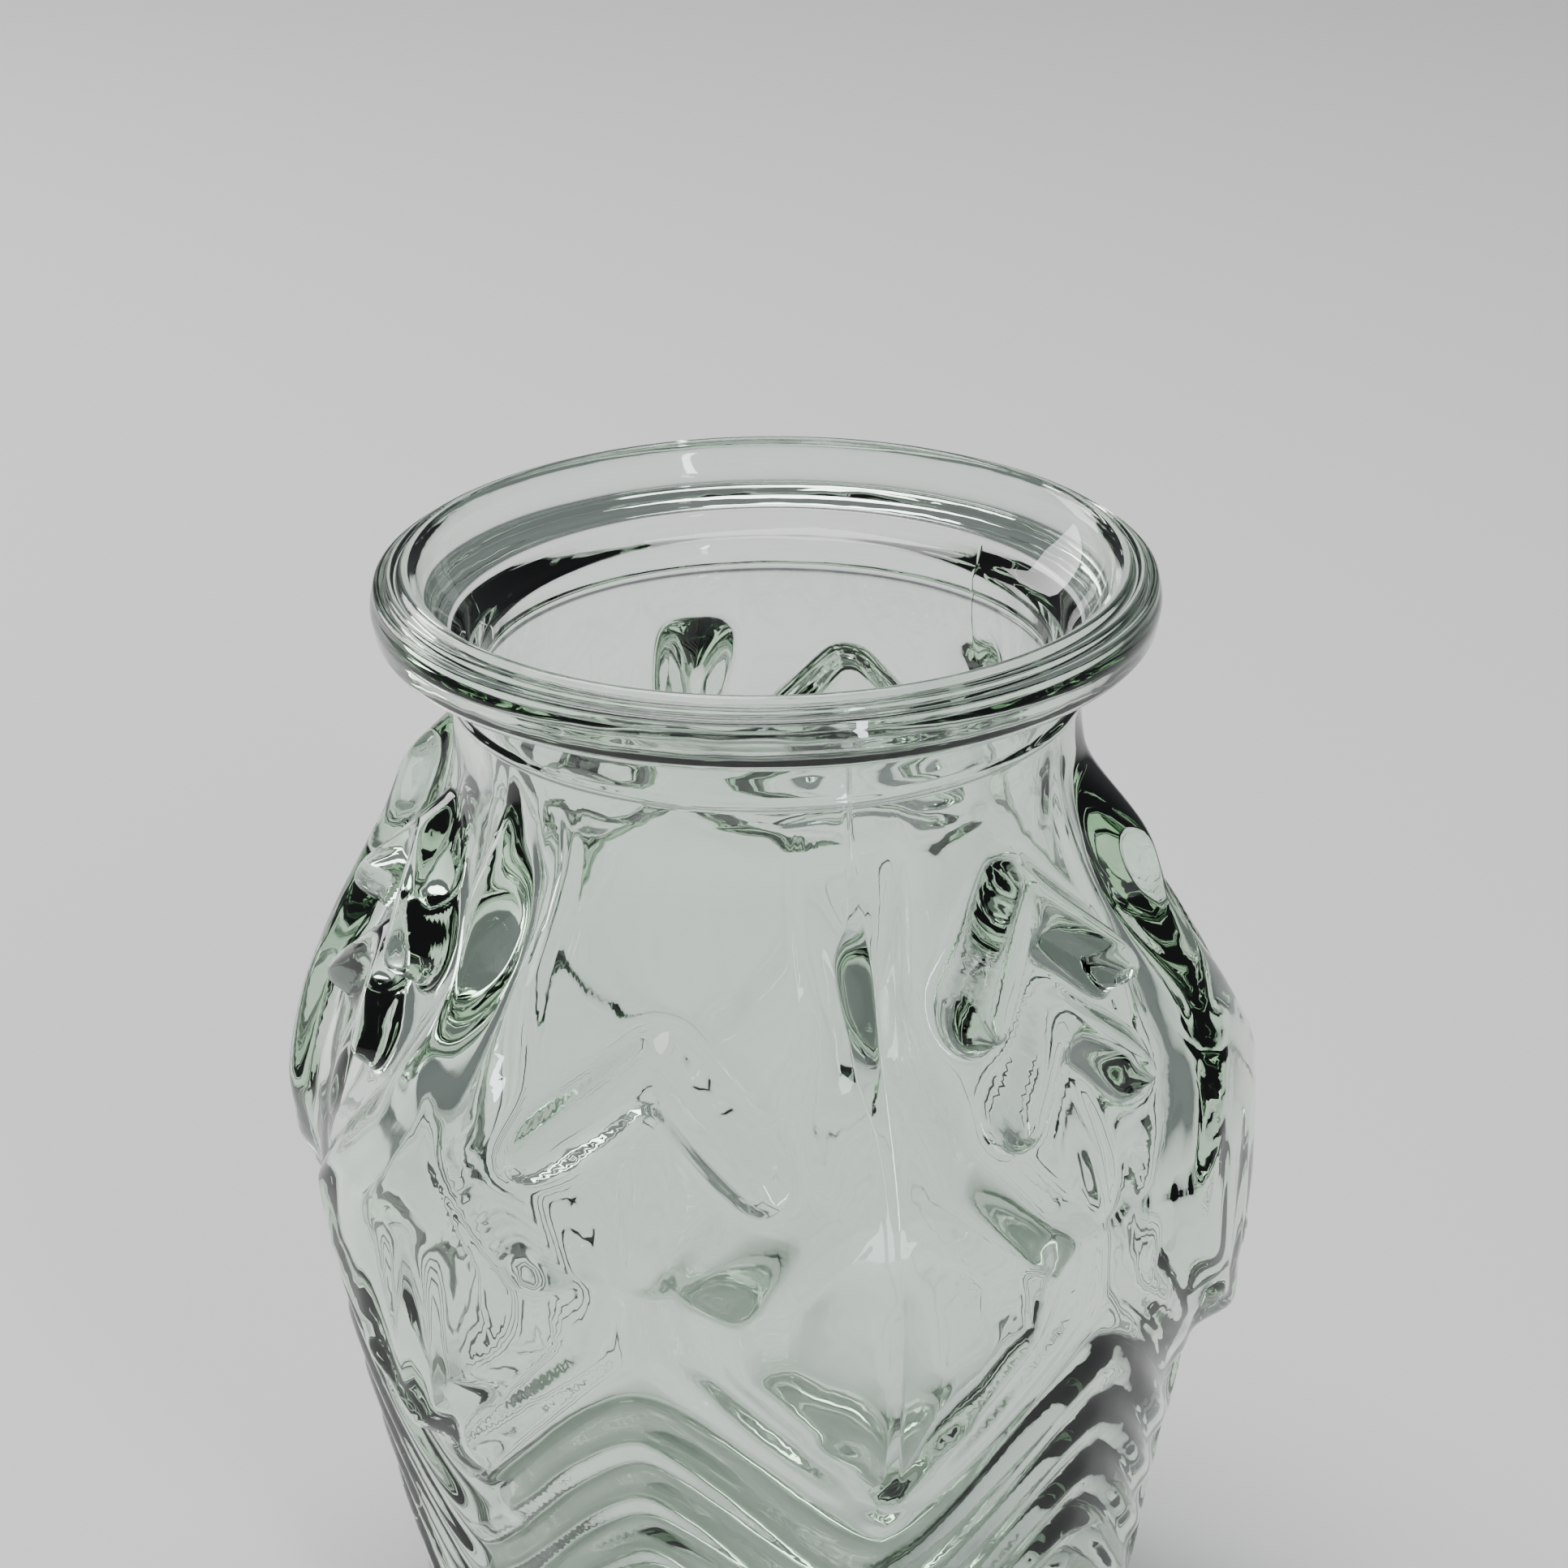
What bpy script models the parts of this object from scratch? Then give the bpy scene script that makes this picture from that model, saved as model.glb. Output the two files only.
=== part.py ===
"""A wide-mouthed preserving jar in one piece of pressed glass, with a deep moulded relief round its body.

Metres, +Z up. The foot ring stands on Z = 0 and the jar's axis is the Z axis.
Depths are measured down from the top of the rim, heights up from the foot.
"""

import math

import bmesh
import bpy
from mathutils import Matrix, Vector
from mathutils.geometry import interpolate_bezier

# Overall
HEIGHT = 0.178
BODY_RADIUS = 0.064
FOOT_RADIUS = 0.0535
WALL = 0.0036

# Rim: a rounded bead with a grooved sealing land on top, over a mouth that flares from the bore
MOUTH_FLARE = 0.0085
LAND_INSET = 0.0010
LAND_WIDTH = 0.0036
GROOVE_WIDTH = 0.0009
GROOVE_DEPTH = 0.0007
BEAD_WIDTH = 0.0064
BEAD_HEIGHT = 0.0092
BEAD_ROUNDING = 0.0022

# Neck and the ledge that carries the lid
NECK_RADIUS = 0.0435
NECK_WALL = 0.0044
NECK_DEPTH = 0.0230
NECK_FILLET = 0.0013
SEAT_DEPTH = 0.0125
SEAT_STEP = 0.0012
BORE_RADIUS = NECK_RADIUS - NECK_WALL
LAND_INNER_RADIUS = BORE_RADIUS + MOUTH_FLARE

# Body curve: how far the Bezier handles pull along Z at each end
BELLY_DEPTH = 0.084
BELLY_LENGTH = 0.008
NECK_PULL = 0.010
SHOULDER_PULL = 0.026
LOWER_PULL = 0.024
FOOT_RISE = 0.016

# Foot
HEEL_RADIUS = 0.0055
FOOT_RING_WIDTH = 0.0085
PUSH_UP = 0.0035
FLOOR_THICKNESS = 0.0085
FLOOR_FILLET = 0.016

# Relief: equal panels round the body, each a mirror image about its own middle
PANELS = 6
FIRST_PANEL_ANGLE = math.radians(-106)
PATTERN_TOP = NECK_DEPTH + 0.003
INNER_FOLLOW = 0.45
# the upright ridge between two panels
RIDGE_HEIGHT = 0.0080
RIDGE_LENGTH = 0.034
RIDGE_HALF_WIDTH = 0.008
RIDGE_RUN_IN = 0.004
# the diamond in a panel's middle, with a bar over it: depths below the pattern's top
DIAMOND_HEIGHT = 0.0034
DIAMOND_HALF_WIDTH = 0.0195
DIAMOND_TOP = 0.016
DIAMOND_SIDE = 0.034
DIAMOND_FOOT = 0.058
BROW_TOP = 0.004
BROW_END = (0.022, 0.019)
# the shield between two diamonds
SHIELD_HEIGHT = 0.0046
SHIELD_INSET = 0.006
SHIELD_POINT = 0.039
SHIELD_TIP = 0.087
LINK_TOP = 0.025
# bars along the edges, and the zigzag waves below
BAR_HEIGHT = 0.0026
BAR_HALF_WIDTH = 0.0022
WAVE_HEIGHT = 0.0022
WAVE_TOP = 0.074
WAVE_PITCH = 0.0088
WAVE_SWING = 0.028
WAVES = 5

# Mesh
COLUMNS = PANELS * 12
SHOULDER_ROWS = 13
LOWER_ROWS = 17
INNER_ROWS = 4
ARC_STEPS = 3
FIELD_STEPS = 40
BROAD_EDGE = 0.010
NARROW_EDGE = 0.006


def arc(centre, radius, start, end):
    """Points on a circle in the (radius, height) plane, angles in degrees from +radius."""
    points = []
    for step in range(ARC_STEPS + 1):
        angle = math.radians(start + (end - start) * step / ARC_STEPS)
        points.append((centre[0] + radius * math.cos(angle), centre[1] + radius * math.sin(angle)))
    return points


def upright_curve(start, start_pull, end_pull, end, rows):
    """Points on a Bezier curve that leaves and arrives upright, with the given pulls along Z."""
    knots = (
        Vector((*start, 0)),
        Vector((start[0], start[1] + start_pull, 0)),
        Vector((end[0], end[1] - end_pull, 0)),
        Vector((*end, 0)),
    )
    return [(point.x, point.y) for point in interpolate_bezier(*knots, rows + 1)]


def lower_skin(offset, start_height, rows):
    """The wall from just above the foot up to the belly, inset by offset."""
    belly_height = HEIGHT - BELLY_DEPTH - BELLY_LENGTH / 2
    start, end = (FOOT_RADIUS - offset, start_height), (BODY_RADIUS - offset, belly_height)
    return upright_curve(start, LOWER_PULL, LOWER_PULL, end, rows)


def shoulder_skin(offset, end, rows):
    """The wall from the belly up to the neck, inset by offset."""
    start = (BODY_RADIUS - offset, HEIGHT - BELLY_DEPTH + BELLY_LENGTH / 2)
    return upright_curve(start, SHOULDER_PULL, NECK_PULL, end, rows)


def foot_outline():
    """The underside, from the axis out to the top of the heel."""
    ring_outer = FOOT_RADIUS - HEEL_RADIUS
    ring_inner = ring_outer - FOOT_RING_WIDTH
    dome = [(0, PUSH_UP), (ring_inner / 3, PUSH_UP * 0.95), (ring_inner * 3 / 4, PUSH_UP * 0.65)]
    heel = arc((ring_outer, HEEL_RADIUS), HEEL_RADIUS, -90, 0)
    return dome + [(ring_inner, 0)] + heel


def bead_outline():
    """The bead's outside, from the neck up to the outer edge of the land."""
    outer = LAND_INNER_RADIUS + BEAD_WIDTH
    bottom = HEIGHT - BEAD_HEIGHT
    return [
        (NECK_RADIUS, bottom - NECK_FILLET),
        (NECK_RADIUS + NECK_FILLET, bottom),
        (outer - BEAD_ROUNDING, bottom),
        (outer - BEAD_ROUNDING / 3, bottom + BEAD_ROUNDING),
        (outer, HEIGHT - BEAD_HEIGHT / 2),
        (outer - BEAD_ROUNDING / 5, HEIGHT - BEAD_ROUNDING),
        (LAND_INNER_RADIUS + LAND_INSET + LAND_WIDTH + GROOVE_DEPTH, HEIGHT - GROOVE_DEPTH),
    ]


def land_outline():
    """The flat land on top of the bead, with a groove round its middle, from outside to inside."""
    inner = LAND_INNER_RADIUS + LAND_INSET
    groove = inner + LAND_WIDTH / 2
    return [
        (inner + LAND_WIDTH, HEIGHT),
        (groove + GROOVE_WIDTH / 2, HEIGHT),
        (groove, HEIGHT - GROOVE_DEPTH),
        (groove - GROOVE_WIDTH / 2, HEIGHT),
        (inner, HEIGHT),
    ]


def mouth_outline():
    """The mouth, from the inner edge of the land down past the lid's ledge into the bore."""
    bore = BORE_RADIUS
    seat_height = HEIGHT - SEAT_DEPTH
    edge = (LAND_INNER_RADIUS, HEIGHT - LAND_INSET)
    ledge = (bore + 2 * SEAT_STEP, seat_height + SEAT_STEP)
    flare = [
        (edge[0] + (ledge[0] - edge[0]) * share ** 1.4, edge[1] + (ledge[1] - edge[1]) * share)
        for share in (0, 1 / 3, 2 / 3, 1)
    ]
    return flare + [(bore + SEAT_STEP / 3, seat_height), (bore, seat_height - SEAT_STEP)]


def floor_outline():
    """The inside bottom, from the top of its fillet in to the axis."""
    flat = FOOT_RADIUS - WALL - FLOOR_FILLET
    fillet = arc((flat, FLOOR_THICKNESS + FLOOR_FILLET), FLOOR_FILLET, 0, -90)
    return fillet + [(flat / 3, FLOOR_THICKNESS), (0, FLOOR_THICKNESS)]


def jar_outline():
    """The whole half section, from the axis under the foot round to the axis inside."""
    neck_foot = (NECK_RADIUS, HEIGHT - NECK_DEPTH)
    bore_foot = (BORE_RADIUS, HEIGHT - NECK_DEPTH - WALL)
    outside = lower_skin(0, FOOT_RISE, LOWER_ROWS) + shoulder_skin(0, neck_foot, SHOULDER_ROWS)
    rim = bead_outline() + land_outline() + mouth_outline()
    floor = floor_outline()
    inside = lower_skin(WALL, floor[0][1], INNER_ROWS) + shoulder_skin(WALL, bore_foot, INNER_ROWS)
    return foot_outline() + outside + rim + inside[::-1] + floor[1:]


def spun(outline):
    """A closed bmesh: the outline turned once round the Z axis, its first column on a panel's middle."""
    mesh = bmesh.new()
    turn = Matrix.Rotation(FIRST_PANEL_ANGLE, 3, "Z")
    verts = [mesh.verts.new(turn @ Vector((radius, 0, height))) for radius, height in outline]
    edges = [mesh.edges.new(pair) for pair in zip(verts, verts[1:])]
    bmesh.ops.spin(
        mesh, geom=verts + edges, axis=(0, 0, 1), cent=(0, 0, 0),
        angle=math.tau, steps=COLUMNS, use_merge=True,
    )
    bmesh.ops.remove_doubles(mesh, verts=mesh.verts, dist=1e-5)
    bmesh.ops.recalc_face_normals(mesh, faces=mesh.faces)
    return mesh


def limit(share):
    return min(max(share, 0), 1)


def smooth(share):
    """0 to 1 with a soft start and end."""
    share = limit(share)
    return share * share * (3 - 2 * share)


def raised(distance, half_width, edge):
    """1 within half_width of a line, falling smoothly to 0 over the width of its edge."""
    return smooth((half_width + edge / 2 - distance) / edge)


def to_line(place, start, end):
    """Distance from a place on the panel to a straight stretch between two others."""
    start, end = Vector(start), Vector(end)
    line = end - start
    share = limit((place - start).dot(line) / line.length_squared)
    return (place - start - line * share).length


def half_panel():
    """Distance round the body from a panel's middle to its side."""
    return math.pi / PANELS * BODY_RADIUS


def panel_distance(angle):
    """Distance round the body from the nearest panel's middle."""
    width = math.tau / PANELS
    return abs((angle - FIRST_PANEL_ANGLE + width / 2) % width - width / 2) * BODY_RADIUS


def wave_course(across):
    """How far a wave has dropped below its peak: a zigzag with rounded corners."""
    share = across / half_panel()
    return WAVE_SWING * (share + (1 - math.cos(math.pi * share)) / 2) / 2


def ridge(place, edge):
    """The upright ridge on the side of a panel. A place is (distance from the middle, depth of pattern)."""
    line = to_line(place, (half_panel(), 0), (half_panel(), RIDGE_LENGTH))
    run_in = limit((place.y + RIDGE_RUN_IN) / (4 * RIDGE_RUN_IN))
    return RIDGE_HEIGHT * run_in * raised(line, RIDGE_HALF_WIDTH, edge * 1.6)


def diamond(place, edge):
    """The lower half of the diamond, swelling out of the shoulder."""
    middle = (DIAMOND_TOP + DIAMOND_FOOT) / 2
    half_length = (DIAMOND_FOOT - DIAMOND_TOP) / 2
    outside = place.x / DIAMOND_HALF_WIDTH + abs(place.y - middle) / half_length - 1
    low = smooth((place.y - middle + DIAMOND_TOP / 2) / DIAMOND_TOP)
    return DIAMOND_HEIGHT * low * raised(outside * DIAMOND_HALF_WIDTH * 0.7, 0, edge)


def shield(place, edge):
    """The raised shield on the side of a panel, between the diamonds and over the waves."""
    share = (place.x - SHIELD_INSET) / (half_panel() - SHIELD_INSET)
    below_top = place.y - (DIAMOND_FOOT + (SHIELD_POINT - DIAMOND_FOOT) * share)
    above_foot = DIAMOND_FOOT + (SHIELD_TIP - DIAMOND_FOOT) * share - place.y
    inside = min(below_top, above_foot, place.x - SHIELD_INSET)
    return SHIELD_HEIGHT * raised(-inside * 0.8, 0, edge)


def swelling(place, edge):
    """The broad forms."""
    return max(ridge(place, edge), diamond(place, edge), shield(place, edge))


def bars(place):
    """Narrow bars: one over the diamond, and those that frame the diamond and the shield."""
    corner, cross = (DIAMOND_HALF_WIDTH, DIAMOND_SIDE), (0, DIAMOND_FOOT)
    lines = (
        ((0, BROW_TOP), BROW_END),
        ((0, DIAMOND_TOP), corner),
        (corner, cross),
        (corner, (half_panel(), LINK_TOP)),
        (cross, (half_panel(), SHIELD_TIP)),
    )
    nearest = min(to_line(place, *line) for line in lines)
    return BAR_HEIGHT * raised(nearest, BAR_HALF_WIDTH, NARROW_EDGE)


def waves(place):
    """The zigzag ribs that run round the body below the shields."""
    below_first = place.y - WAVE_TOP - wave_course(place.x)
    nearest = min(max(round(below_first / WAVE_PITCH), 0), WAVES - 1)
    return WAVE_HEIGHT * smooth(1 - 2 * abs(below_first / WAVE_PITCH - nearest))


def fade(height):
    """Holds the relief clear of the neck and of the foot."""
    from_neck = (HEIGHT - NECK_DEPTH - height) / RIDGE_RUN_IN
    return limit(from_neck) * limit((height - FOOT_RISE) / WAVE_PITCH)


def row_shift(across, height):
    """How far a row of the mesh is moved along Z so that the rows run along the waves."""
    above_foot = smooth((height - FOOT_RISE) / WAVE_SWING)
    below_belly = smooth((HEIGHT - BELLY_DEPTH - height) / (WAVE_SWING * 1.2))
    return (WAVE_SWING / 2 - wave_course(across)) * above_foot * below_belly


def field_radius(field, height):
    """The outside radius before the relief, at a height."""
    for lower, upper in zip(field, field[1:]):
        if upper[1] >= height:
            share = (height - lower[1]) / (upper[1] - lower[1])
            return lower[0] + (upper[0] - lower[0]) * share
    return field[-1][0]


def press_relief(mesh):
    """Moves the body's skin out along its radius: the outside by the whole relief, the inside softly."""
    neck_foot = (NECK_RADIUS, HEIGHT - NECK_DEPTH)
    field = lower_skin(0, FOOT_RISE, FIELD_STEPS) + shoulder_skin(0, neck_foot, FIELD_STEPS)
    pattern_height = HEIGHT - PATTERN_TOP
    for vert in mesh.verts:
        radius, height = vert.co.xy.length, vert.co.z
        if not FOOT_RISE < height < neck_foot[1] or radius < FOOT_RADIUS / 2:
            continue
        across = panel_distance(math.atan2(vert.co.y, vert.co.x))
        if radius > field_radius(field, height) - WALL / 2:
            height += row_shift(across, height)
            place = Vector((across, pattern_height - height))
            rise = swelling(place, BROAD_EDGE) + max(bars(place), waves(place))
            pressed = field_radius(field, height) + rise * fade(height)
        else:
            place = Vector((across, pattern_height - height))
            pressed = radius + INNER_FOLLOW * swelling(place, BROAD_EDGE * 1.8) * fade(height)
        vert.co = Vector((*(vert.co.xy * pressed / radius), height))


def clear_glass():
    """Clear glass with the faint green of ordinary jar glass."""
    material = bpy.data.materials.new("clear_glass")
    material.use_nodes = True
    shader = material.node_tree.nodes["Principled BSDF"]
    shader.inputs["Base Color"].default_value = (0.86, 0.93, 0.88, 1)
    shader.inputs["Metallic"].default_value = 0
    shader.inputs["Roughness"].default_value = 0.03
    shader.inputs["IOR"].default_value = 1.52
    shader.inputs["Transmission Weight"].default_value = 1
    return material


def glass_jar():
    """The jar, the only piece: its body, neck and rim are pressed together from one gob of glass."""
    mesh = spun(jar_outline())
    press_relief(mesh)
    data = bpy.data.meshes.new("glass_jar")
    mesh.to_mesh(data)
    mesh.free()
    data.shade_smooth()
    data.materials.append(clear_glass())
    jar = bpy.data.objects.new("glass_jar", data)
    bpy.context.scene.collection.objects.link(jar)


for old in list(bpy.data.objects):
    bpy.data.objects.remove(old)
glass_jar()
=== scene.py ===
"""A wide-mouthed preserving jar of pressed glass, standing on a pale studio floor. Metres, +Z up.

The jar is spun from its half section, then its body is pressed into the six-panelled mould:
a diamond in the middle of each panel, an upright ridge and a shield between two panels,
and zigzag waves round the lower wall. A place on a panel is (across, down): the distance from
the panel's middle line, measured round the body, and the depth below the rim.
"""

import math

import bpy
import numpy as np
from mathutils import Matrix, Vector
from mathutils.geometry import interpolate_bezier


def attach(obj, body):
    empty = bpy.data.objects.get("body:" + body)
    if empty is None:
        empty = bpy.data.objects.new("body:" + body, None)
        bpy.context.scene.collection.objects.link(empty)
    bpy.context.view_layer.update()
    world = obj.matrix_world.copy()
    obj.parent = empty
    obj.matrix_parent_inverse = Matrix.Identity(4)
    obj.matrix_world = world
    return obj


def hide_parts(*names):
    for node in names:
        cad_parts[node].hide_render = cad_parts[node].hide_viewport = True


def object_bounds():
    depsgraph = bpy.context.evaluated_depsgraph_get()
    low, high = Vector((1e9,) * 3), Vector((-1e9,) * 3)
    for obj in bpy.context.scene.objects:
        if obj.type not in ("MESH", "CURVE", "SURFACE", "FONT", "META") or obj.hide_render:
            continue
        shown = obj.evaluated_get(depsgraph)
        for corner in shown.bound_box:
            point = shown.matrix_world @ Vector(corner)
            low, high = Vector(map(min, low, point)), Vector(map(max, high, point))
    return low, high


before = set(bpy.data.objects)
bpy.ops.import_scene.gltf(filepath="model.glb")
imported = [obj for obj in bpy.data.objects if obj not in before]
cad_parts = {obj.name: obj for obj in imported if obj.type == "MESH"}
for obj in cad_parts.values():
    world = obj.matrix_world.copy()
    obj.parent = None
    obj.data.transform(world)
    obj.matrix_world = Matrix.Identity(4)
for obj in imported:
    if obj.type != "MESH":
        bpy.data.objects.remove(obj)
cad_low, cad_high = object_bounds()

# The jar's sizes, as its solid has them. A depth is measured down from the rim.
HEIGHT = cad_high.z
BODY_RADIUS = 0.064
WALL = 0.0036
BELLY_DEPTH = 0.084
BELLY_LENGTH = 0.008
LOWER_PULL = 0.024
SHOULDER_PULL = 0.015

FOOT_RADIUS = 0.0535
FOOT_RISE = 0.016
RING_INNER = 0.0395
HEEL_RADIUS = 0.0055
PUSH_UP = 0.0035
FLOOR_HEIGHT = 0.0085
FLOOR_FILLET = 0.016

NECK_RADIUS = 0.0435
NECK_WALL = 0.0044
NECK_DEPTH = 0.0230
NECK_PULL = 0.020
PARTING_DEPTH = 0.0178
SEAT_DEPTH = 0.0125
LEDGE_WIDTH = 0.0024
LEDGE_ROUND = 0.0012

BEAD_OUTER = 0.0540
BEAD_HEIGHT = 0.0092
BEAD_FILLET = 0.0013
BEAD_LOWER_ROUND = 0.0024
BEAD_UPPER_ROUND = 0.0032
LAND_INNER = 0.0476
LAND_EDGE_DROP = 0.0010
# each ridge on the land, from the outside: its middle, its drop below the rim and half its width
LAND_RIDGES = ((0.0528, 0.0019, 0.0008), (0.0512, 0.0008, 0.0007), (0.0492, 0.0, 0.0009))

# The mould. The relief's heights stand over the plain wall.
PANELS = 6
PANEL_TURN = math.tau / PANELS
FIRST_PANEL = math.radians(-106)
HALF_PANEL = math.pi / PANELS * BODY_RADIUS
COLUMNS = PANELS * 54
COLUMN_TURN = math.tau / COLUMNS

SEAMS = 3
SEAM = math.radians(-76)
SEAM_HEIGHT = 0.00022
# how far from a seam the columns beside it end up, counted in columns
SEAM_COLUMNS = (0, 0.20, 0.45, 1.3, 2.6, 4.2, 5.7, 7)

SHIELD_HEIGHT = 0.0057
SHIELD_FOOT = (HALF_PANEL, 0.1150)
RIDGE_EXTRA = 0.0031
RIDGE_START = 0.0212
RECESS_TOP_HALF = 0.0232
DIAMOND_CORNER = (0.0205, 0.0600)
DIAMOND_FOOT = (0, 0.0835)

# A bar: where it starts and ends, half its width, and its heights at the start and the end
TALL_CHEVRON = ((0.0010, 0.0358), (0.0148, 0.0468), 0.0058, (0.0044, 0.0082))
SHORT_CHEVRON = ((0.0010, 0.0510), (0.0120, 0.0604), 0.0048, (0.0034, 0.0058))
WIDE_CHEVRON = ((0.0010, 0.0512), (0.0168, 0.0634), 0.0050, (0.0034, 0.0052))
DIAMOND_RIB = (DIAMOND_FOOT, DIAMOND_CORNER, 0.0026, (0.0012, 0.0010))
FOOT_RIB = (DIAMOND_FOOT, (HALF_PANEL, 0.1165), 0.0030, (0.0016, 0.0016))

LEAF_MIDDLE = 0.068
LEAF_HALF_LENGTH = 0.010
LEAF_HALF_WIDTH = 0.0034
LEAF_HEIGHT = 0.0012
PLEAT_FOOT = 0.1065
PLEAT_HEIGHT = 0.0015
FIRST_WAVE = 0.1008
WAVE_SPACING = 0.0096
LAST_WAVE = 4
WAVE_DROP = 0.028
WAVE_HEIGHT = 0.0017
# how much of the shield's height shows on the inside of the wall
INSIDE_SHARE = 0.45


def deselect():
    bpy.ops.object.select_all(action="DESELECT")


# ---------------------------------------------------------------- the half section


def arc(centre, radius, start, end, steps):
    """Points on a circle in the (radius, height) plane, angles in degrees from +radius."""
    angles = np.radians(np.linspace(start, end, steps + 1))
    return [(centre[0] + radius * math.cos(a), centre[1] + radius * math.sin(a)) for a in angles]


def curve(start, start_pull, end_pull, end, rows):
    """A Bezier curve that leaves and arrives upright."""
    knots = (
        Vector((*start, 0)),
        Vector((start[0], start[1] + start_pull, 0)),
        Vector((end[0], end[1] - end_pull, 0)),
        Vector((*end, 0)),
    )
    return [(p.x, p.y) for p in interpolate_bezier(*knots, rows + 1)]


def lower_wall(offset, start_height, rows):
    """The wall from the foot up to the belly, this far inside the outer skin."""
    belly = HEIGHT - BELLY_DEPTH - BELLY_LENGTH / 2
    start = (FOOT_RADIUS - offset, start_height)
    return curve(start, LOWER_PULL, LOWER_PULL, (BODY_RADIUS - offset, belly), rows)


def shoulder_wall(offset, end, rows):
    """The wall from the belly over the shoulder to the end of the neck."""
    belly = HEIGHT - BELLY_DEPTH + BELLY_LENGTH / 2
    return curve((BODY_RADIUS - offset, belly), SHOULDER_PULL, NECK_PULL, end, rows)


def foot_rows():
    """The underside: a shallow push-up, the ring it stands on and the heel."""
    shares = (0, 0.2, 0.4, 0.6, 0.75, 0.88)
    dome = [(RING_INNER * s, PUSH_UP * math.cos(s * math.pi / 2) ** 0.7) for s in shares]
    heel = arc((FOOT_RADIUS - HEEL_RADIUS, HEEL_RADIUS), HEEL_RADIUS, -90, 0, 8)
    return dome + [(RING_INNER, 0.0)] + heel


def bead_rows():
    """The rounded bead under the sealing land, from the neck up to the land's outer ridge."""
    bottom = HEIGHT - BEAD_HEIGHT
    fillet = arc((NECK_RADIUS + BEAD_FILLET, bottom - BEAD_FILLET), BEAD_FILLET, 180, 90, 4)
    low = arc((BEAD_OUTER - 0.0027, bottom + BEAD_LOWER_ROUND), BEAD_LOWER_ROUND, -90, -20, 5)
    side = arc((BEAD_OUTER - BEAD_UPPER_ROUND, HEIGHT - 0.0048), BEAD_UPPER_ROUND, -12, 35, 5)
    return fillet + low + side


def land_rows():
    """The sealing land: three ridges with grooves between them, falling a little towards the outside."""
    rows = []
    for middle, drop, half_width in LAND_RIDGES:
        rows += arc((middle, HEIGHT - drop - half_width), half_width, 20, 160, 6)
    return rows


def mouth_rows():
    """From the land over the rounded inner edge, down the flare to the lid's ledge."""
    bore = NECK_RADIUS - NECK_WALL
    seat = HEIGHT - SEAT_DEPTH
    edge = (LAND_INNER, HEIGHT - LAND_EDGE_DROP)
    ledge = (bore + LEDGE_WIDTH, seat + LEDGE_ROUND)
    flare = [
        (edge[0] + (ledge[0] - edge[0]) * s ** 1.4, edge[1] + (ledge[1] - edge[1]) * s)
        for s in np.linspace(0, 1, 12)
    ]
    return flare + [(bore + 0.0012, seat + 0.0002), (bore + 0.0004, seat), (bore, seat - LEDGE_ROUND)]


def floor_rows():
    """The inside of the bottom, from the wall's fillet to the axis."""
    flat = FOOT_RADIUS - WALL - FLOOR_FILLET
    fillet = arc((flat, FLOOR_HEIGHT + FLOOR_FILLET), FLOOR_FILLET, 0, -90, 8)
    return fillet + [(flat * s, FLOOR_HEIGHT) for s in (0.75, 0.5, 0.25, 0)]


def half_section():
    """The glass from the middle of the underside, up the outside, over the rim and down the inside."""
    neck_foot = (NECK_RADIUS, HEIGHT - NECK_DEPTH)
    bore_foot = (NECK_RADIUS - NECK_WALL, HEIGHT - NECK_DEPTH - WALL)
    outside = lower_wall(0, FOOT_RISE, 80) + shoulder_wall(0, neck_foot, 76)
    parting_ring = arc((NECK_RADIUS - 0.0002, HEIGHT - PARTING_DEPTH), 0.0007, -60, 60, 6)
    upper_neck = [(NECK_RADIUS, HEIGHT - d) for d in (0.0166, 0.0140, 0.0115)]
    neck = [(NECK_RADIUS, HEIGHT - 0.0190)] + parting_ring + upper_neck
    rim = bead_rows() + land_rows() + mouth_rows()
    floor = floor_rows()
    inside = lower_wall(WALL, floor[0][1], 30) + shoulder_wall(WALL, bore_foot, 30)
    bore = [(bore_foot[0], HEIGHT - d) for d in (0.0170, 0.0210)]
    return foot_rows() + outside[:-1] + neck + rim + bore + inside[::-1] + floor[1:]


def spun(name, outline):
    """Extrudes one point along the half section and spins it once round the axis."""
    deselect()
    bpy.ops.mesh.primitive_plane_add(size=0.001, location=(outline[0][0], 0, outline[0][1]))
    piece = bpy.context.object
    piece.name = piece.data.name = name
    bpy.ops.object.transform_apply(location=True, rotation=True, scale=True)
    bpy.ops.object.mode_set(mode="EDIT")
    bpy.ops.mesh.select_mode(type="VERT")
    bpy.ops.mesh.select_all(action="SELECT")
    bpy.ops.mesh.merge(type="CENTER")
    for before, after in zip(outline, outline[1:]):
        step = (after[0] - before[0], 0, after[1] - before[1])
        bpy.ops.mesh.extrude_vertices_move(TRANSFORM_OT_translate={"value": step})
    bpy.ops.mesh.select_all(action="SELECT")
    bpy.ops.mesh.spin(steps=COLUMNS, angle=math.tau, center=(0, 0, 0), axis=(0, 0, 1))
    bpy.ops.mesh.select_all(action="SELECT")
    bpy.ops.mesh.remove_doubles(threshold=1e-5)
    bpy.ops.mesh.normals_make_consistent(inside=False)
    bpy.ops.object.mode_set(mode="OBJECT")
    return piece


# ---------------------------------------------------------------- the mould


def smooth(share):
    """0 below 0, 1 above 1, and a soft S-shaped slope between."""
    share = np.clip(share, 0, 1)
    return share * share * (3 - 2 * share)


def rise_from(value, start, length):
    """0 up to the start, then softly up to 1 over the length."""
    return smooth((value - start) / length)


def fall_to(value, end, length):
    """1, then softly down over the length to 0 at the end."""
    return smooth((end - value) / length)


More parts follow.
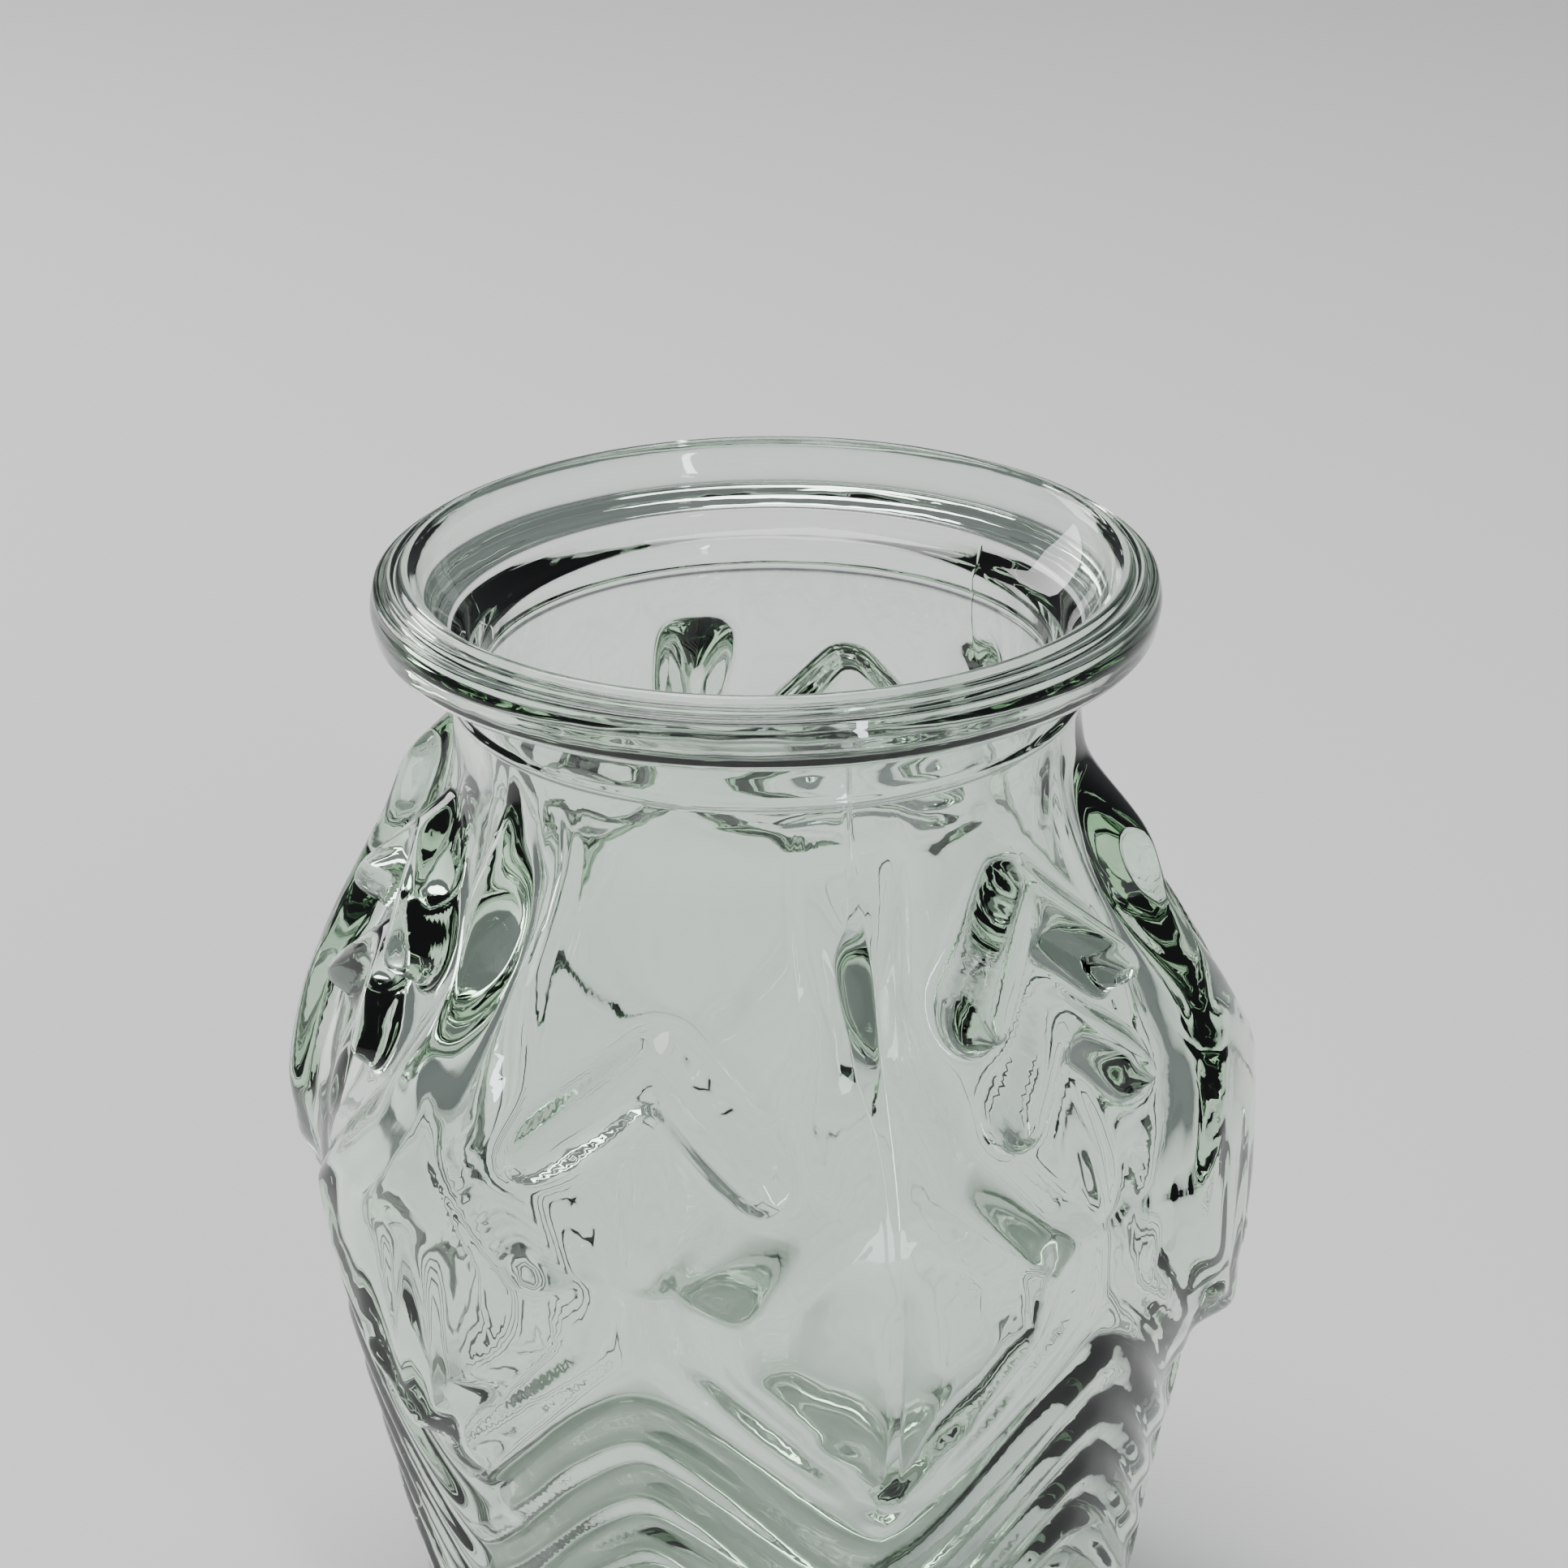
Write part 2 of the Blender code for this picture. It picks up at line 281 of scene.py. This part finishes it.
def rounded(distance, half_width):
    """A bar with a round back: 1 along its middle line, 0 beyond its half width."""
    return np.sin(np.clip(1.35 * (1 - distance / half_width), 0, 1) * np.pi / 2) ** 1.3


def to_line(x, y, start, end):
    """Distance to a straight stretch between two places on the panel."""
    dx, dy = end[0] - start[0], end[1] - start[1]
    share = np.clip(((x - start[0]) * dx + (y - start[1]) * dy) / (dx * dx + dy * dy), 0, 1)
    return np.hypot(x - start[0] - share * dx, y - start[1] - share * dy)


def wave_course(x):
    """How far a wave has dropped below its peak: a zigzag with rounded corners."""
    share = x / HALF_PANEL
    return WAVE_DROP * (share + (1 - np.cos(np.pi * share)) / 2) / 2


def side_of(x, y, start, end):
    """Distance to the line through two places, positive below a line that runs away from the middle."""
    dx, dy = end[0] - start[0], end[1] - start[1]
    return (dx * (y - start[1]) - dy * (x - start[0])) / math.hypot(dx, dy)


def flank(distance, width):
    """A side that climbs steeply and turns over into a rounded top."""
    return np.sin(np.clip(distance / width, 0, 1) * np.pi / 2)


def crest(y):
    """Height of the ridge and the shield over the field, from the neck down."""
    extra = RIDGE_EXTRA * (1 - rise_from(y, 0.056, 0.024))
    return rise_from(y, RIDGE_START, 0.0165) * (SHIELD_HEIGHT + extra)


def shield(x, y, spread):
    """The upright ridge that opens into the shield, all round the recessed diamond of a panel.

    The spread widens its sides, which makes the softer shape that shows on the inside of the wall.
    """
    # the recess widens over the shoulder, then draws in to the diamond's corner
    widening = 0.0030 * rise_from(y, 0.028, 0.018)
    narrowing = 0.0062 * rise_from(y, 0.043, 0.021)
    beside = x - RECESS_TOP_HALF - widening + narrowing
    under = side_of(x, y, DIAMOND_FOOT, DIAMOND_CORNER)
    over = -side_of(x, y, (0.0055, DIAMOND_FOOT[1]), SHIELD_FOOT)
    bevel = 0.0075 + spread
    upper = np.maximum(flank(beside, 0.0085 + spread), np.clip(under / bevel, 0, 1))
    inner = np.maximum(flank(x - 0.0035, 0.0050 + spread), fall_to(y, 0.082, 0.012))
    face = crest(y) * upper * flank(over, 0.0050 + spread) * inner
    # a fine raised line along the bevel's upper edge
    line = rounded(np.abs(under - bevel), 0.0014) * rise_from(x, 0.011, 0.004) * fall_to(x, 0.031, 0.004)
    return face + 0.0007 * line * smooth(over / 0.006)


def bar(x, y, start, end, half_width, heights):
    """A bar with a round back, whose height changes evenly from its start to its end."""
    share = np.clip((x - start[0]) / (end[0] - start[0]), 0, 1)
    height = heights[0] + (heights[1] - heights[0]) * share
    return height * rounded(to_line(x, y, start, end), half_width)


def bars(x, y, tall):
    """Two chevrons in a tall panel's diamond, one wide one in a plain panel's, and thin ribs below."""
    upper = bar(x, y, *TALL_CHEVRON) * tall
    short = bar(x, y, *SHORT_CHEVRON) * tall
    wide = bar(x, y, *WIDE_CHEVRON) * (1 - tall)
    sides = bar(x, y, *DIAMOND_RIB)
    foot = bar(x, y, *FOOT_RIB)
    return np.max([upper, short, wide, sides, foot], axis=0)


def leaf(x, y):
    """A slender upright leaf in the middle of the diamond."""
    along = (y - LEAF_MIDDLE) / LEAF_HALF_LENGTH
    half_width = LEAF_HALF_WIDTH * np.sqrt(np.clip(1 - along ** 2, 0, 1))
    return LEAF_HEIGHT * fall_to(x, half_width, 0.0022)


def fan(x, y):
    """Pleats that fan out from the foot of the shield, with a V-shaped lip below them."""
    across = HALF_PANEL - x
    pleat_width = 0.0036 + 0.030 * (0.108 - y)
    pleat = np.abs(across / pleat_width % 2 - 1) ** 1.2
    region = fall_to(y, PLEAT_FOOT - 0.45 * across, 0.0010) * rise_from(y, 0.074, 0.012)
    region = region * fall_to(across, 0.0100, 0.002)
    lip = rounded(to_line(x, y, (HALF_PANEL - 0.0090, 0.1000), (HALF_PANEL, 0.1090)), 0.0020)
    return PLEAT_HEIGHT * (pleat - 0.6) * region + PLEAT_HEIGHT * lip


def waves(x, y):
    """The zigzag ribs that run round the body below the shields."""
    below = (y - FIRST_WAVE - wave_course(x)) / WAVE_SPACING
    nearest = np.clip(np.round(below), 0, LAST_WAVE)
    return WAVE_HEIGHT * smooth(1.15 - 2 * np.abs(below - nearest))


def fade(height):
    """Holds the relief clear of the neck and of the foot."""
    return fall_to(height, HEIGHT - 0.0195, 0.006) * rise_from(height, FOOT_RISE, 0.0088)


def draw_to_seams(angle):
    """Draws the columns together at the three mould seams, so that a seam is a thin line."""
    turn = math.tau / SEAMS
    offset = (angle - SEAM + turn / 2) % turn - turn / 2
    reach = len(SEAM_COLUMNS) - 1
    moved = np.interp(np.abs(offset) / COLUMN_TURN, range(reach + 1), SEAM_COLUMNS)
    near = np.abs(offset) < reach * COLUMN_TURN
    return np.where(near, angle + np.sign(offset) * moved * COLUMN_TURN - offset, angle), offset


def soften(piece, chosen):
    """Rounds the pattern off a little, as the fire polish does."""
    deselect()
    piece.select_set(True)
    bpy.context.view_layer.objects.active = piece
    bpy.ops.object.mode_set(mode="EDIT")
    bpy.ops.mesh.select_all(action="DESELECT")
    bpy.ops.object.mode_set(mode="OBJECT")
    piece.data.vertices.foreach_set("select", chosen)
    bpy.ops.object.mode_set(mode="EDIT")
    bpy.ops.mesh.vertices_smooth(factor=0.5, repeat=5)
    bpy.ops.object.mode_set(mode="OBJECT")


def outer_field(height):
    """The radius of the plain outer wall, before the relief, at each height."""
    neck_foot = (NECK_RADIUS, HEIGHT - NECK_DEPTH)
    outline = np.array(lower_wall(0, FOOT_RISE, 200) + shoulder_wall(0, neck_foot, 200))
    return np.interp(height, outline[:, 1], outline[:, 0])


def unevenness(angle, height):
    """How far the inside strays from an even wall, in shallow waves."""
    return 0.00025 * np.sin(3 * angle + height * 90) * np.sin(height * 160 + 1.3 * np.sin(2 * angle))


def press_relief(piece):
    """Moves the body's skin out along its radius, the outside by the whole relief and the inside softly."""
    count = len(piece.data.vertices)
    places = np.empty(count * 3)
    piece.data.vertices.foreach_get("co", places)
    places = places.reshape(-1, 3)
    radius = np.hypot(places[:, 0], places[:, 1])
    angle, offset = draw_to_seams(np.arctan2(places[:, 1], places[:, 0]))
    height = places[:, 2]
    outer = outer_field(height)
    body = (height > FOOT_RISE) & (height < HEIGHT - NECK_DEPTH + 0.003) & (radius > FOOT_RADIUS / 2)
    outside = body & (radius > outer - WALL / 2)
    inside = body & ~outside
    x = np.abs((angle - FIRST_PANEL + PANEL_TURN / 2) % PANEL_TURN - PANEL_TURN / 2) * BODY_RADIUS
    y = HEIGHT - height
    tall = np.floor((angle - FIRST_PANEL) / PANEL_TURN + 0.5) % 2
    detail = np.maximum(bars(x, y, tall), waves(x, y)) + leaf(x, y)
    rise = (np.maximum(shield(x, y, 0), detail) + fan(x, y)) * outside
    rise = rise + INSIDE_SHARE * shield(x, y, 0.006) * inside
    pressed = radius + rise * fade(height)
    # the seams, where the three parts of the mould met
    skin = (radius > outer - WALL / 2) & (height > 0.006) & (height < HEIGHT - 0.011)
    pressed = pressed + SEAM_HEIGHT * skin * (np.abs(offset) < COLUMN_TURN / 2)
    pressed = pressed + unevenness(angle, height) * inside
    off_axis = radius > 1e-6
    places[:, 0] = np.where(off_axis, pressed * np.cos(angle), 0)
    places[:, 1] = np.where(off_axis, pressed * np.sin(angle), 0)
    piece.data.vertices.foreach_set("co", places.ravel())
    piece.data.update()
    soften(piece, outside & (fade(height) > 0.2))


# ---------------------------------------------------------------- finish


def noise(nodes, links, place, scale, detail):
    pattern = nodes.new("ShaderNodeTexNoise")
    pattern.inputs["Scale"].default_value = scale
    pattern.inputs["Detail"].default_value = detail
    links.new(place, pattern.inputs["Vector"])
    return pattern.outputs["Fac"]


def rim_wear(nodes, links, place):
    """How scuffed the glass is: polished on the body, and worn towards the land on top."""
    height = nodes.new("ShaderNodeSeparateXYZ")
    links.new(place, height.inputs["Vector"])
    worn = nodes.new("ShaderNodeMapRange")
    worn.interpolation_type = "SMOOTHSTEP"
    worn.inputs["From Min"].default_value = HEIGHT - 0.0050
    worn.inputs["From Max"].default_value = HEIGHT
    worn.inputs["To Min"].default_value = 0.02
    worn.inputs["To Max"].default_value = 0.16
    links.new(height.outputs["Z"], worn.inputs["Value"])
    return worn.outputs["Result"]


def jar_glass():
    """Clear soda glass with a green cast in its thick parts, a slightly wavy skin and a worn rim."""
    material = bpy.data.materials.new("jar_glass")
    material.use_nodes = True
    nodes, links = material.node_tree.nodes, material.node_tree.links
    shader = nodes["Principled BSDF"]
    shader.inputs["Base Color"].default_value = (0.97, 1.0, 0.98, 1)
    shader.inputs["IOR"].default_value = 1.52
    shader.inputs["Transmission Weight"].default_value = 1
    place = nodes.new("ShaderNodeTexCoord").outputs["Object"]
    # wear: fine scuffs that gather on the land
    scuffs = noise(nodes, links, place, 900, 6)
    amount = nodes.new("ShaderNodeMath")
    amount.operation = "MULTIPLY"
    links.new(rim_wear(nodes, links, place), amount.inputs[0])
    links.new(scuffs, amount.inputs[1])
    links.new(amount.outputs["Value"], shader.inputs["Roughness"])
    # the skin's shallow waves, left by the mould
    skin = nodes.new("ShaderNodeBump")
    skin.inputs["Strength"].default_value = 0.5
    skin.inputs["Distance"].default_value = 0.0006
    links.new(noise(nodes, links, place, 55, 2.5), skin.inputs["Height"])
    links.new(skin.outputs["Normal"], shader.inputs["Normal"])
    # the green cast, which deepens with the length of glass that light crosses
    body = nodes.new("ShaderNodeVolumeAbsorption")
    body.inputs["Color"].default_value = (0.62, 0.81, 0.62, 1)
    body.inputs["Density"].default_value = 32
    links.new(body.outputs["Volume"], nodes["Material Output"].inputs["Volume"])
    return material


def jar():
    piece = spun("pressed_jar", half_section())
    # turned so that a column of points runs down the middle of each panel
    piece.data.transform(Matrix.Rotation(FIRST_PANEL, 4, "Z"))
    press_relief(piece)
    piece.data.shade_smooth()
    piece.data.materials.append(jar_glass())
    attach(piece, "root")
    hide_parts("glass_jar")


# ---------------------------------------------------------------- the studio


def floor_finish():
    material = bpy.data.materials.new("studio_floor")
    material.use_nodes = True
    shader = material.node_tree.nodes["Principled BSDF"]
    shader.inputs["Base Color"].default_value = (0.72, 0.72, 0.71, 1)
    shader.inputs["Roughness"].default_value = 0.6
    return material


def studio():
    deselect()
    bpy.ops.mesh.primitive_plane_add(size=6, location=(0, 0, -0.0002))
    floor = bpy.context.object
    floor.name = "studio_floor"
    floor.data.materials.append(floor_finish())


def softbox(name, place, target, width, height, power, colour=(1, 1, 1)):
    """A rectangular lamp turned to face the target."""
    light = bpy.data.lights.new(name, "AREA")
    light.shape = "RECTANGLE"
    light.size, light.size_y = width, height
    light.energy = power
    light.color = colour
    lamp = bpy.data.objects.new(name, light)
    lamp.location = place
    lamp.rotation_euler = (Vector(target) - Vector(place)).to_track_quat("-Z", "Y").to_euler()
    bpy.context.scene.collection.objects.link(lamp)


def lighting():
    world = bpy.data.worlds.new("studio")
    world.use_nodes = True
    world.node_tree.nodes["Background"].inputs["Color"].default_value = (0.55, 0.57, 0.60, 1)
    world.node_tree.nodes["Background"].inputs["Strength"].default_value = 0.36
    bpy.context.scene.world = world
    middle = (0, 0, HEIGHT / 2)
    softbox("tall_window", (0.56, -1.12, 0.45), middle, 0.07, 1.10, 9, (0.86, 0.93, 1.0))
    softbox("overhead", (-0.2, 0.3, 1.6), middle, 1.2, 1.2, 30)
    softbox("back_left", (-1.1, 1.0, 0.7), middle, 0.5, 1.0, 12)


def camera():
    data = bpy.data.cameras.new("camera")
    data.sensor_width = 36
    data.lens = 86.4
    item = bpy.data.objects.new("camera", data)
    item.location = (0.0022, -0.480, 0.3606)
    look_down = Matrix.Rotation(math.radians(65.683), 3, "X")
    roll = Matrix.Rotation(math.radians(-0.542), 3, "Z")
    item.rotation_euler = (look_down @ roll).to_euler()
    bpy.context.scene.collection.objects.link(item)
    bpy.context.scene.camera = item


jar()
studio()
lighting()
camera()
